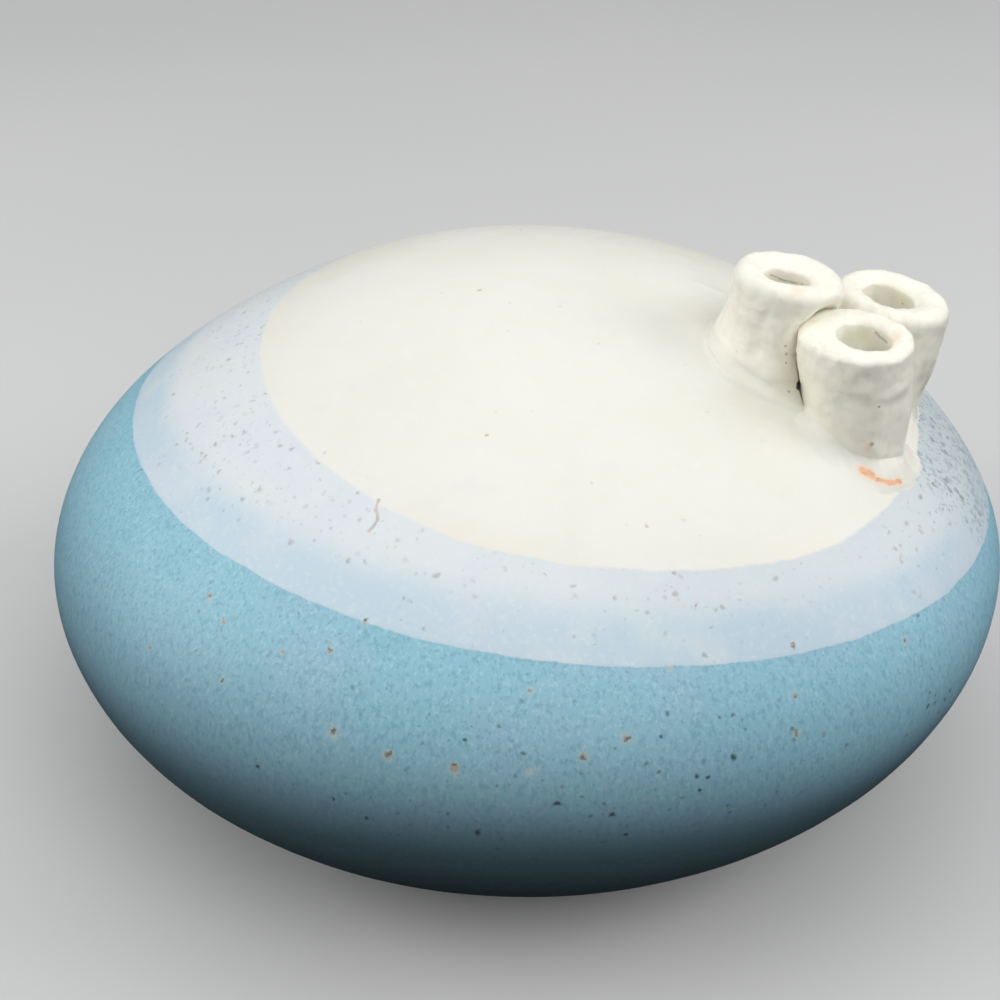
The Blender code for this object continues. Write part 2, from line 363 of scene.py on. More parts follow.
def front_radius(deg, along):
    """Outer radius of the front spout at a whole degree."""
    angle = math.radians(deg)
    if deg not in FOOT_LINE:
        FOOT_LINE[deg] = (foot_along("front", angle, wall_radius("front", angle, 0.0), (0, 0), SINK),
                          lip_height("front", angle))
    low, top = FOOT_LINE[deg]
    drop = SPOUTS["front"]["lip"][0]
    v = min(1.0, max(0.0, (along - low) / (top - drop - low)))
    r = wall_radius("front", angle, v)
    # above its lip the dent it leaves slopes away
    return r - 1.3 * max(0.0, along - top + 0.3 * drop)


def pressed(name, p, gap=0.08, soft=0.30):
    """Where two spouts touch, the left one gives way; a small eye stays open at the foot."""
    if name != "left":
        return p
    base, turn = AXES["front"]
    q = turn.transposed() @ (p - base)
    rho = math.hypot(q.x, q.y)
    deg = math.degrees(math.atan2(q.y, q.x)) % 360.0
    low = int(deg)
    r = front_radius(low, q.z) * (1 - deg + low) + front_radius((low + 1) % 360, q.z) * (deg - low)
    over = p.z - dome_z(p.x, p.y)
    r += gap - 0.30 * (1 - smooth(0.4, 1.6, over)) - 0.24 * smooth(6.0, 9.0, over)
    r += 0.85 * near(deg, 184, 14) * math.exp(-((over - 2.3) / 0.75) ** 2)
    d = r - rho
    soft += 0.35 * smooth(13.0, 17.0, q.z)
    if d < -6 * soft:
        return p
    push = soft * math.log1p(math.exp(min(30.0, d / soft))) if d < 30 * soft else d
    grow = (rho + push) / rho
    return base + turn @ Vector((q.x * grow, q.y * grow, q.z))


def make_spout(name):
    s = SPOUTS[name]
    walls, lips, bores = [], [], []
    for i in range(ROUND_SPOUT):
        a = 2 * math.pi * i / ROUND_SPOUT
        ray = Vector((math.cos(a), math.sin(a)))
        off = Vector(s["off"])
        top = lip_height(name, a)
        q = Vector((math.cos(a) * 1.3, math.sin(a) * 1.3, s["seed"] * 2.3))
        outside = s["lip"][0] * (1 + 0.20 * noise.noise(q))
        inside = s["lip"][1] * (1 + 0.20 * noise.noise(q + Vector((5, 2, 3))))
        low = foot_along(name, a, wall_radius(name, a, 0.0), (0, 0), SINK)
        shoulder = top - outside
        walls.append([pressed(name, spout_point(name, a, wall_radius(name, a, v), low + (shoulder - low) * v))
                      for v in span(0.0, 1.0, 46)])
        # the lip rolls from the outer wall over a crest and into the bore
        outer = ray * wall_radius(name, a, 1.0)
        bore = off + ray * bore_radius(name, a, 0.0)
        crest = bore.lerp(outer, 0.56 + 0.06 * noise.noise(q * 1.7))
        base, turn = AXES[name]
        column = []
        for f in span(0.0, 1.0, 13)[1:]:
            c, e = math.cos(f * math.pi / 2), math.sin(f * math.pi / 2)
            xy = crest + (outer - crest) * c ** 0.9
            column.append((xy, top - outside * (1 - e)))
        for f in span(0.0, 1.0, 13)[1:-1]:
            c, e = math.cos(f * math.pi / 2), math.sin(f * math.pi / 2)
            xy = crest + (bore - crest) * e
            column.append((xy, top - inside * (1 - c)))
        points = []
        for k, (xy, along) in enumerate(column):
            grit = Vector((xy.x * 0.55, xy.y * 0.55, s["seed"] * 3 + along * 0.4))
            crumb = 0.12 * noise.noise(grit) + 0.08 * noise.noise(grit * 2.6)
            if name == "front":
                crumb += 0.75 * near(math.degrees(a), 224, 26) * max(0.0, noise.noise(grit * 2.8)) * smooth(17.0, 11.0, k)
            points.append(pressed(name, base + turn @ Vector((xy.x, xy.y, along + crumb))))
        lips.append(points)
        start = top - inside
        deep = foot_along(name, a, bore_radius(name, a, 12.0), off + Vector(s["bend"]), 0.40)
        column = []
        for v in span(0.0, 1.0, 26):
            along = start + (deep - start) * v
            bend = Vector(s["bend"]) * smooth(0.0, 5.0, start - along)
            column.append(spout_point(name, a, bore_radius(name, a, start - along), along, off + bend))
        bores.append(column)
    rows = [list(r) for r in zip(*walls)] + [list(r) for r in zip(*lips)] + [list(r) for r in zip(*bores)]
    return mesh_from_rows("spout_" + name + "_pinched", rows, loop=True, sharp=60.0)


spout_pieces = {name: make_spout(name) for name in SPOUTS}

# stem holes through the dome
for name, s in SPOUTS.items():
    rows = []
    middle = Vector(s["off"]) + Vector(s["bend"])
    for along in (6.0, -22.0):
        rows.append([spout_point(name, 2 * math.pi * i / 48, s["bore"] + 0.6, along, middle)
                     for i in range(48)])
    drill = mesh_from_rows("drill", [[spout_point(name, 0, 0, 6.0, middle)]] + rows
                           + [[spout_point(name, 0, 0, -22.0, middle)]])
    mod = upper_piece.modifiers.new("Hole", "BOOLEAN")
    mod.operation = "DIFFERENCE"
    mod.solver = "EXACT"
    mod.object = drill
    graph = bpy.context.evaluated_depsgraph_get()
    cut = bpy.data.meshes.new_from_object(upper_piece.evaluated_get(graph))
    upper_piece.modifiers.clear()
    upper_piece.data = cut
    bpy.data.objects.remove(drill, do_unlink=True)

# ------------------------------------------------------------------ the collars
# smeared clay round the outer side of each foot: start and end angle, width on
# the dome, height up the wall, height of the ridge left by the finger
COLLARS = {
    "left": dict(arc=(62.0, 318.0), width=3.4, rise=2.6, ridge=0.62, seed=3.3),
    "front": dict(arc=(172.0, 396.0), width=3.6, rise=3.4, ridge=0.0, seed=8.8),
    "right": dict(arc=(280.0, 516.0), width=2.6, rise=2.4, ridge=0.0, seed=14.1),
}


def make_collar(name):
    c = COLLARS[name]
    start, end = (math.radians(d) for d in c["arc"])
    columns = []
    n = 200
    for i in range(n):
        u = i / (n - 1)
        a = start + (end - start) * u
        deg = math.degrees(a) % 360.0
        fade = max(0.04, smooth(0.0, 0.16, u) * smooth(0.0, 0.05 if name == "left" else 0.16, 1 - u))
        q = Vector((math.cos(a) * 1.8, math.sin(a) * 1.8, c["seed"]))
        width = c["width"] * (1 + 0.25 * noise.noise(q) + 0.10 * noise.noise(q * 2.9))
        rise = c["rise"] * (1 + 0.25 * noise.noise(q + Vector((4, 1, 7))))
        ridge = c["ridge"] * (1 + 0.5 * noise.noise(q * 1.3 + Vector((1, 9, 2))))
        ledge = thick = 0.0
        if name == "right":
            thick = 0.10 * near(deg, 325, 45)
            width *= 1 - 0.62 * near(deg, 338, 40)
        if name == "left":
            # the ridge left by the finger shows on the left and front
            ridge *= near(deg, 236, 46) + 0.6 * near(deg, 296, 22)
            width *= 1 + 0.55 * smooth(258, 304, deg)
            rise *= 1 - 0.35 * near(deg, 236, 46)
            width *= 0.40 + 0.60 * smooth(178, 222, deg)
            rise *= 0.55 + 0.45 * smooth(178, 222, deg)
        if name == "front":
            # a flange stands out below the pared facet
            ledge = 2.1 * smooth(258, 296, deg if deg > 90 else deg + 360) * near(max(deg, 304) if deg > 90 else deg + 360, 304, 30)
            thick = 0.30 * near(deg, 345, 40)
            width -= 1.1 * near(deg, 340, 34)
            rise *= 1 - 0.85 * near(deg, 306, 42)
        width, rise = width * fade, rise * fade
        ridge, ledge, thick = ridge * fade, ledge * fade, thick * fade
        r0 = wall_radius(name, a, 0.0)
        low = foot_along(name, a, r0, (0, 0), 0.0)
        length = lip_height(name, a) - SPOUTS[name]["lip"][0] - low

        def place(dist, height):
            """Point at a distance from the wall and a height over the dome."""
            r = wall_radius(name, a, max(0.0, (height + SINK) / (length + SINK)))
            along = foot_along(name, a, r0 + dist, (0, 0), 0.0)
            return spout_point(name, a, r + dist, along + height)

        column = []
        for f in span(0.0, 1.0, 30):
            # hollow quarter round, tangent to the wall and to the dome
            turn = 0.5 * math.pi * (1 - f)
            part = 1 - math.sin(turn)
            dist = width * part - 0.03 * (1 - f)
            height = rise * (1 - math.cos(turn)) * smooth(1.02, 0.55, part) - 0.012 * f
            height += ridge * math.exp(-((part - 0.60) / 0.15) ** 2) * smooth(1.0, 0.85, part)
            height += ledge * (1 - part ** 1.4) * smooth(1.0, 0.9, part)
            height += thick * smooth(0.0, 0.3, part) * smooth(1.0, 0.88, part)
            grain = noise.noise(q * 4 + Vector((0, 0, f * 3)))
            height += 0.06 * grain * math.sin(math.pi * f) ** 2
            column.append(pressed(name, place(dist, height), gap=0.12, soft=0.30))
        for dist, height, gap in ((width + 0.25, -0.05, 0.15), (width + 0.35, -0.35, 0.15),
                                  (-0.3, -0.45, 0.35), (-0.55, rise * 0.5, 0.35)):
            column.append(pressed(name, place(dist, height), gap=gap, soft=0.30))
        columns.append(column)
    rows = [list(r) for r in zip(*columns)]
    return mesh_from_rows("collar_" + name + "_smeared", rows, loop=True, caps=True, wrap=False, sharp=35.0)


collar_pieces = {name: make_collar(name) for name in SPOUTS}

def solid_tree(objects):
    """Search tree over the faces of some pieces."""
    verts, faces = [], []
    for obj in objects:
        base = len(verts)
        verts += [v.co.copy() for v in obj.data.vertices]
        faces += [[base + i for i in f.vertices] for f in obj.data.polygons]
    return BVHTree.FromPolygons(verts, faces)


SPOUT_TREE = solid_tree([*spout_pieces.values(), *collar_pieces.values(), upper_piece])
BODY_TREE = solid_tree([upper_piece, lower_piece, seam_piece])


def on_body(px, py, tree=BODY_TREE):
    """Point of the body (mm) seen at a pixel."""
    hit = tree.ray_cast((AIM + TOWARDS * FAR) * MM, sight(px, py))[0]
    return hit / MM


def on_spout(px, py):
    """Point of the spouts, collars or dome (mm) seen at a pixel."""
    return on_body(px, py, SPOUT_TREE)


# ------------------------------------------------------------------ materials
class Nodes:
    """Short hand for building a node material."""

    def __init__(self, name):
        self.mat = bpy.data.materials.new(name)
        self.mat.use_nodes = True
        self.tree = self.mat.node_tree
        self.shader = self.tree.nodes["Principled BSDF"]
        coord = self.tree.nodes.new("ShaderNodeTexCoord")
        self.pos = self.vmath("SCALE", coord.outputs["Object"], scale=1000.0)

    def link(self, out, sock):
        self.tree.links.new(out, sock)

    def feed(self, sock, value):
        if isinstance(value, bpy.types.NodeSocket):
            self.link(value, sock)
        elif isinstance(value, (tuple, list, Vector)) and len(value) == 3 and sock.type == "RGBA":
            sock.default_value = (*value, 1.0)
        else:
            sock.default_value = value

    def vmath(self, op, a, b=None, scale=None):
        node = self.tree.nodes.new("ShaderNodeVectorMath")
        node.operation = op
        self.feed(node.inputs[0], a)
        if b is not None:
            self.feed(node.inputs[1], b)
        if scale is not None:
            node.inputs["Scale"].default_value = scale
        return node.outputs["Value"] if op in ("DOT_PRODUCT", "LENGTH", "DISTANCE") else node.outputs[0]

    def math(self, op, a, b=0.0, c=None, clamp=False):
        node = self.tree.nodes.new("ShaderNodeMath")
        node.operation = op
        node.use_clamp = clamp
        self.feed(node.inputs[0], a)
        self.feed(node.inputs[1], b)
        if c is not None:
            self.feed(node.inputs[2], c)
        return node.outputs[0]

    def ramp(self, value, a, b, lo=0.0, hi=1.0, kind="SMOOTHSTEP"):
        node = self.tree.nodes.new("ShaderNodeMapRange")
        node.interpolation_type = kind
        node.clamp = True
        self.feed(node.inputs["Value"], value)
        node.inputs["From Min"].default_value = a
        node.inputs["From Max"].default_value = b
        node.inputs["To Min"].default_value = lo
        node.inputs["To Max"].default_value = hi
        return node.outputs["Result"]

    def noise(self, size, detail=2.0, rough=0.5, vector=None, distort=0.0):
        """Noise whose features are about size mm across."""
        node = self.tree.nodes.new("ShaderNodeTexNoise")
        self.feed(node.inputs["Vector"], vector if vector is not None else self.pos)
        node.inputs["Scale"].default_value = 1.0 / size
        node.inputs["Detail"].default_value = detail
        node.inputs["Roughness"].default_value = rough
        node.inputs["Distortion"].default_value = distort
        return node.outputs["Fac"]

    def noise_vec(self, size, detail=1.0):
        node = self.tree.nodes.new("ShaderNodeTexNoise")
        self.feed(node.inputs["Vector"], self.pos)
        node.inputs["Scale"].default_value = 1.0 / size
        node.inputs["Detail"].default_value = detail
        return node.outputs["Color"]

    def cells(self, size, vector=None):
        """Distance to, and random number of, scattered points about size mm apart."""
        node = self.tree.nodes.new("ShaderNodeTexVoronoi")
        self.feed(node.inputs["Vector"], vector if vector is not None else self.pos)
        node.inputs["Scale"].default_value = 1.0 / size
        split = self.tree.nodes.new("ShaderNodeSeparateColor")
        self.link(node.outputs["Color"], split.inputs[0])
        dist = self.math("MULTIPLY", node.outputs["Distance"], size)
        return dist, split.outputs[0], split.outputs[1], split.outputs[2]

    def mix(self, fac, a, b, blend="MIX"):
        node = self.tree.nodes.new("ShaderNodeMix")
        node.data_type = "RGBA"
        node.blend_type = blend
        self.feed(node.inputs[0], fac)
        self.feed(node.inputs[6], a)
        self.feed(node.inputs[7], b)
        return node.outputs[2]

    def bump(self, height, distance, strength=1.0, normal=None):
        node = self.tree.nodes.new("ShaderNodeBump")
        node.inputs["Strength"].default_value = strength
        node.inputs["Distance"].default_value = distance
        self.feed(node.inputs["Height"], height)
        if normal is not None:
            self.link(normal, node.inputs["Normal"])
        return node.outputs["Normal"]

    def nearest(self, spots, warp):
        """Smallest distance to a list of spots (point, radius), in radii."""
        best = None
        for point, radius in spots:
            d = self.vmath("DISTANCE", warp, tuple(point))
            d = self.math("MULTIPLY", d, 1.0 / radius)
            best = d if best is None else self.math("MINIMUM", best, d)
        return best

    def stroke(self, points, radius, warp):
        """Distance to a line through some points, in radii."""
        best = None
        for a, b in zip(points, points[1:]):
            line = b - a
            away = self.vmath("SUBTRACT", warp, tuple(a))
            along = self.math("MULTIPLY", self.vmath("DOT_PRODUCT", away, tuple(line)),
                              1.0 / line.length_squared, clamp=True)
            spread = self.tree.nodes.new("ShaderNodeVectorMath")
            spread.operation = "SCALE"
            spread.inputs[0].default_value = line
            self.link(along, spread.inputs["Scale"])
            d = self.vmath("DISTANCE", away, spread.outputs[0])
            d = self.math("MULTIPLY", d, 1.0 / radius)
            best = d if best is None else self.math("MINIMUM", best, d)
        return best


# glaze colours
CREAM_WARM, CREAM_PALE = (0.802, 0.789, 0.708), (0.816, 0.811, 0.753)
CREAM_FLECK, CREAM_GREY = (0.850, 0.831, 0.748), (0.763, 0.763, 0.717)
CREAM_EDGE, SPOUT_WHITE = (0.836, 0.768, 0.666), (0.976, 0.948, 0.829)
BAND_LOW, BAND_HIGH = (0.545, 0.668, 0.748), (0.722, 0.764, 0.778)
BAND_MAUVE, BAND_GREEN = (0.675, 0.715, 0.775), (0.675, 0.755, 0.750)
BAND_FLECK, BAND_BUSY = (0.770, 0.815, 0.830), (0.580, 0.670, 0.680)
# the first blue is painted shade, the blue darkened towards the foot
BLUE_PAINTED_FOOT_SHADE, BLUE_LOW, BLUE_HIGH = (0.102, 0.180, 0.218), (0.200, 0.358, 0.445), (0.290, 0.545, 0.650)
BLUE_GREY, BLUE_TEAL = (0.345, 0.520, 0.645), (0.250, 0.520, 0.610)
# what the finer mottling multiplies the blue by
PALER, DARKER, TICK = (1.42, 1.22, 1.15), (0.66, 0.75, 0.79), (0.45, 0.56, 0.62)

# glaze edges: tilted planes, n . p = d in mm
CREAM_N, CREAM_D = Vector((0.122, -0.065, 0.990)), 32.6 + 0.990 * Z_EQ
BAND_N, BAND_D = Vector((0.105, 0.018, 0.994)), 18.5 + 0.994 * Z_EQ

# the larger iron spots, by where they are seen: pixel, radius in mm
RUST = [(210, 596, 0.55), (223, 621, 0.38), (282, 652, 0.38), (330, 650, 0.48), (333, 731, 0.62),
        (388, 755, 0.60), (453, 768, 0.62), (530, 691, 0.40), (583, 756, 0.55),
        (627, 739, 0.72), (366, 621, 0.45), (796, 733, 0.55), (793, 645, 0.55),
        (696, 605, 0.36), (149, 648, 0.38), (222, 680, 0.36), (795, 695, 0.45), (905, 640, 0.45)]
PITS = [(257, 766, 0.42), (478, 832, 0.58), (612, 815, 0.55), (557, 803, 0.48), (333, 798, 0.36),
        (366, 818, 0.40), (697, 776, 0.45), (734, 757, 0.52), (708, 777, 0.42), (700, 790, 0.36),
        (662, 737, 0.34), (464, 741, 0.32), (626, 835, 0.36), (928, 706, 0.45), (935, 703, 0.38),
        (950, 690, 0.45), (939, 712, 0.40), (945, 699, 0.36)]
# pale straw-coloured spots where the glaze broke
STRAW = [(670, 667, 0.70), (528, 772, 0.70), (536, 769, 0.55), (456, 775, 0.65), (210, 600, 0.6), (334, 736, 0.5)]
# a hair of iron that runs down from the cream edge
HAIR = [(379, 500), (376.5, 505.5), (375.2, 510.5), (377.8, 515.5), (377, 521), (373.5, 526), (369.5, 531)]
# flux that broke through at the edge of the front collar
FLUX_SPOT = [(862, 470), (867, 473), (872, 475.5)]
FLUX_LINE = [(877, 479.5), (886, 482), (894, 482.5), (900, 481)]
# marks on the spouts: brown dots, a brown line in the front bore, peach and yellow tints, a dark smear low on the
# right spout; painted shade as a line in the left bore, in the crease where the rims meet and in one pinhole
BROWN = [(902.5, 303.9, 0.24), (785.5, 346, 0.22), (786.2, 354, 0.30), (785.8, 363, 0.24), (872, 444.2, 0.46),
         (878.9, 406.7, 0.26), (908, 444.7, 0.46), (912, 431.7, 0.30), (916.4, 417.8, 0.32), (788.6, 391.4, 0.30)]
BORE_STAIN_AND_SHADE_LINES = [([(876, 333), (880, 337), (886.5, 342)], 0.22), ([(771, 275), (781, 279.5), (791, 282), (803, 284.5)], 0.14)]
PEACH = [(797, 290.5, 1.4), (895.6, 337.2, 1.5), (814, 321.4, 0.6), (868, 447, 0.8), (913, 438, 1.0),
         (910, 452, 0.9), (906, 463, 0.9)]
YELLOW = [(903.9, 301, 1.8), (897, 295, 1.6), (862, 335, 1.5), (850, 338, 1.4)]
DARK_SMEAR = [(923.3, 374.7, 0.95), (926, 381.7, 0.9), (922.5, 389, 0.8), (931.7, 365, 0.55), (924.5, 366, 0.7),
        (928, 373, 0.6)]
CREASE_PAINTED_SHADE = [(846, 303, 0.9), (854, 306, 0.7), (872, 309, 0.7)]
PINHOLE_PAINTED_SHADE = [(798.6, 384.0, 0.60), (798.2, 387.5, 0.50)]
# patches with more specks than elsewhere: pixel, reach in mm, share of specks kept
CROWDS = [(232, 440, 20.0, 0.70), (690, 628, 16.0, 0.55), (938, 436, 17.0, 1.0), (905, 540, 14.0, 0.55),
          (240, 345, 16.0, 0.66), (310, 540, 16.0, 0.50), (480, 590, 14.0, 0.40)]
GRIT = [(945, 700, 17.0), (720, 776, 18.0), (330, 770, 17.0), (420, 782, 20.0), (520, 790, 20.0), (620, 788, 20.0), (820, 758, 15.0)]


def glaze(name, part):
    """Cream, band and blue glaze over speckled clay. part is body or spout."""
    g = Nodes(name)
    pos = g.pos
    fine = g.noise(1.1, 2.0)
    wob = g.noise_vec(1.1, 1.0)
    warp = g.vmath("ADD", pos, g.vmath("SCALE", g.vmath("SUBTRACT", wob, (0.5, 0.5, 0.5)), scale=0.8))

    def dots(cell, small, big, keep, soft=0.2, where=warp):
        """Scattered specks; keep is a share or a socket that gives the share."""
        dist, r1, r2, r3 = g.cells(cell, where)
        size = g.ramp(r2, 0.0, 1.0, small, big, "LINEAR")
        spot = g.ramp(g.math("SUBTRACT", dist, size), -soft, soft * 0.4, 1.0, 0.0)
        spot = g.math("MULTIPLY", spot, g.math("LESS_THAN", r1, keep))
        return g.math("MULTIPLY", spot, g.ramp(r3, 0.0, 1.0, 0.35, 1.0)), r2

    def within(px, py, reach):
        return g.ramp(g.vmath("DISTANCE", pos, tuple(on_body(px, py))), reach * 0.35, reach, 1.0, 0.0)

    # ---- cream: faint yellow clouds, pale flecks, a few grey specks
    blotch = g.noise(20.0, 3.0, 0.55)
    cream = g.mix(g.ramp(blotch, 0.36, 0.66), CREAM_WARM, CREAM_PALE)
    cream = g.mix(g.ramp(g.noise(2.4, 3.0, 0.6), 0.52, 0.75, 0.0, 0.40), cream, CREAM_FLECK)
    cream = g.mix(g.ramp(g.noise(6.0, 2.0, 0.6), 0.56, 0.76, 0.0, 0.35), cream, CREAM_GREY)
    spot, r2 = dots(2.6, 0.15, 0.42, 0.22)
    cream = g.mix(g.math("MULTIPLY", spot, 0.32), cream, (0.47, 0.45, 0.38))
    mild = g.vmath("ADD", pos, g.vmath("SCALE", g.vmath("SUBTRACT", wob, (0.5, 0.5, 0.5)), scale=0.45))
    flux = g.math("MINIMUM", g.stroke([on_spout(*p) for p in FLUX_SPOT], 0.62, mild),
                  g.stroke([on_spout(*p) for p in FLUX_LINE], 0.46, mild))
    flux = g.math("ADD", flux, g.math("MULTIPLY", g.math("SUBTRACT", g.noise(1.4, 2.0), 0.5), 0.7))
    burn = g.ramp(flux, 0.40, 1.10, 0.95, 0.0)
    glow = g.ramp(flux, 0.9, 2.3, 0.55, 0.0)

    if part == "spout":
        # height over the dome: the white of the spouts thins out to the cream
        split = g.tree.nodes.new("ShaderNodeSeparateXYZ")
        g.link(pos, split.inputs[0])
        flat = g.vmath("MULTIPLY", pos, (1.0 / R_EQ, 1.0 / R_EQ, 0.0))
        across = g.vmath("LENGTH", flat)
        upward = g.math("MULTIPLY", g.math("SUBTRACT", split.outputs[2], Z_EQ), 1.0 / RISE)
        square = g.math("ADD", g.math("MULTIPLY", across, across), g.math("MULTIPLY", upward, upward))
        twice = g.math("DIVIDE", g.math("MULTIPLY", g.math("MULTIPLY", across, upward), 2.0), square)
        skin = g.math("SUBTRACT", 1.0, g.math("MULTIPLY", g.math("MULTIPLY", twice, twice), K_UP))
        over = g.math("MULTIPLY", g.math("SUBTRACT", g.math("SQRT", square), skin), 52.0)
        colour = g.mix(g.ramp(over, 0.2, 2.6, 0.0, 0.80), cream, SPOUT_WHITE)
        # darker where the glaze ran thin
        thin = g.ramp(g.noise(3.4, 3.0, 0.6), 0.54, 0.76, 0.0, 0.25)
        colour = g.mix(thin, colour, (0.76, 0.735, 0.650))
        streak = g.noise(1.7, 3.0, 0.6, g.vmath("MULTIPLY", pos, (1.0, 1.0, 0.35)))
        colour = g.mix(g.math("MULTIPLY", g.ramp(streak, 0.50, 0.70, 0.0, 0.34), g.ramp(over, 1.0, 4.0)), colour, (0.80, 0.755, 0.675))
        spot, r2 = dots(2.1, 0.10, 0.26, 0.16)
        colour = g.mix(g.math("MULTIPLY", spot, 0.45), colour, (0.40, 0.32, 0.26))

        def marks(spots, inner, outer, amount):
            near_by = g.nearest([(on_spout(x, y), r) for x, y, r in spots], mild)
            return g.ramp(near_by, inner, outer, amount, 0.0)

        colour = g.mix(marks(YELLOW, 0.2, 1.2, 0.40), colour, (0.83, 0.76, 0.50))
        colour = g.mix(marks(PEACH, 0.2, 1.2, 0.50), colour, (0.93, 0.71, 0.50))
        # a dark grey-brown smear low on the right spout, beside the front one
        colour = g.mix(g.math("MULTIPLY", marks(DARK_SMEAR, 0.0, 2.7, 0.50), g.ramp(g.noise(3.0, 1.0), 0.3, 0.6, 0.5, 1.0)), colour, (0.40, 0.345, 0.30))
        # painted shade: grey in the crease where the right spout's rim meets the left and front ones
        colour = g.mix(marks(CREASE_PAINTED_SHADE, 0.1, 1.8, 0.30), colour, (0.52, 0.48, 0.42))
        colour = g.mix(marks(BROWN, 0.3, 1.25, 0.65), colour, (0.34, 0.22, 0.17))
        slight = g.vmath("ADD", pos, g.vmath("SCALE", g.vmath("SUBTRACT", wob, (0.5, 0.5, 0.5)), scale=0.2))
        # a brown line in the front spout's bore, and painted shade as a dark line along the left spout's bore
        for line, radius in BORE_STAIN_AND_SHADE_LINES:
            stain_and_shade_line = g.ramp(g.stroke([on_spout(*p) for p in line], radius, slight), 0.2, 1.8, 0.55, 0.0)
            colour = g.mix(stain_and_shade_line, colour, (0.36, 0.23, 0.15))
        # painted shade: near black in the pinhole at the foot where the left and front spouts meet
        colour = g.mix(marks(PINHOLE_PAINTED_SHADE, 0.6, 1.1, 0.95), colour, (0.02, 0.015, 0.012))
        colour = g.mix(glow, colour, (0.90, 0.68, 0.49))
        colour = g.mix(burn, colour, g.mix(g.ramp(g.noise(1.6, 2.0), 0.40, 0.62), (0.90, 0.50, 0.30), (0.74, 0.30, 0.15)))
        rough = g.ramp(fine, 0.3, 0.7, 0.40, 0.56)
        height = g.math("ADD", g.math("MULTIPLY", g.noise(2.6, 3.0), 0.7), g.math("MULTIPLY", fine, 0.25))
        height = g.math("SUBTRACT", height, g.math("MULTIPLY", spot, 0.6))
    else:
        s1 = g.math("SUBTRACT", g.vmath("DOT_PRODUCT", pos, CREAM_N), CREAM_D)
        s2 = g.math("SUBTRACT", g.vmath("DOT_PRODUCT", pos, BAND_N), BAND_D)
        wave = g.math("SUBTRACT", g.noise(11.0, 1.0), 0.5)
        tooth = g.math("SUBTRACT", g.noise(1.9, 2.0), 0.5)
        e1 = g.math("ADD", s1, g.math("ADD", g.math("MULTIPLY", wave, 0.7), g.math("MULTIPLY", tooth, 0.36)))
        e2 = g.math("ADD", s2, g.math("ADD", g.math("MULTIPLY", wave, -0.6), g.math("MULTIPLY", tooth, 0.36)))
        split = g.tree.nodes.new("ShaderNodeSeparateXYZ")
        g.link(pos, split.inputs[0])
        e1 = g.math("SUBTRACT", e1, g.ramp(split.outputs[0], 44.0, 64.0, 0.0, 1.1))
        e1 = g.math("SUBTRACT", e1, g.ramp(split.outputs[0], -42.0, -6.0, 0.75, 0.0))
        in_cream = g.ramp(e1, -0.20, 0.16)
        in_band = g.ramp(e2, -0.13, 0.11)

        # warm line where the cream is thick along its edge
        edge = g.math("MULTIPLY", g.ramp(e1, 0.0, 2.6, 0.55, 0.0), g.ramp(g.noise(17.0, 2.0), 0.42, 0.62))
        cream = g.mix(edge, cream, CREAM_EDGE)

        # ---- pale band: bluer at its lower edge, whiter above
        high = g.ramp(g.math("ADD", e2, g.math("MULTIPLY", wave, 2.0)), 3.2, 7.2)
        cloud = g.noise(13.0, 3.0)
        band = g.mix(high, BAND_LOW, BAND_HIGH)
        band = g.mix(g.ramp(cloud, 0.42, 0.68, 0.0, 0.50), band, BAND_MAUVE)
        band = g.mix(g.ramp(g.noise(9.0, 2.0), 0.52, 0.72, 0.0, 0.55), band, BAND_GREEN)
        band = g.mix(g.ramp(g.noise(0.9, 2.0), 0.5, 0.75, 0.0, 0.30), band, BAND_FLECK)
        share = g.ramp(g.noise(8.0, 1.0), 0.38, 0.64, 0.10, 0.46)
        for px, py, reach, keep in CROWDS:
            share = g.math("MAXIMUM", share, g.math("MULTIPLY", within(px, py, reach), keep))
        share = g.math("MULTIPLY", share, g.ramp(high, 0.0, 0.7, 0.30, 1.0))
        busy = within(935, 435, 25.0)
        loose = g.vmath("ADD", pos, g.vmath("SCALE", g.vmath("SUBTRACT", wob, (0.5, 0.5, 0.5)), scale=1.3))
        band = g.mix(g.math("MULTIPLY", busy, 0.50), band, BAND_BUSY)
        spot, r2 = dots(1.35, 0.22, 0.54, share, 0.40, loose)
        band = g.mix(g.math("MULTIPLY", spot, 0.66), band, g.mix(r2, (0.33, 0.34, 0.34), (0.34, 0.31, 0.28)))
        crowd = g.ramp(busy, 0.0, 0.75, 0.0, 0.92)
        for cell, least, most in ((1.9, 0.44, 0.86), (1.5, 0.30, 0.60), (1.15, 0.22, 0.46), (0.85, 0.14, 0.32)):
            spot3, r2 = dots(cell, least, most, crowd, 0.26, loose)
            band = g.mix(g.math("MULTIPLY", spot3, 0.78), band, (0.29, 0.34, 0.38))
        spot2, r2 = dots(1.05, 0.10, 0.30, share, 0.18)
        band = g.mix(g.math("MULTIPLY", spot2, 0.45), band, (0.40, 0.41, 0.42))

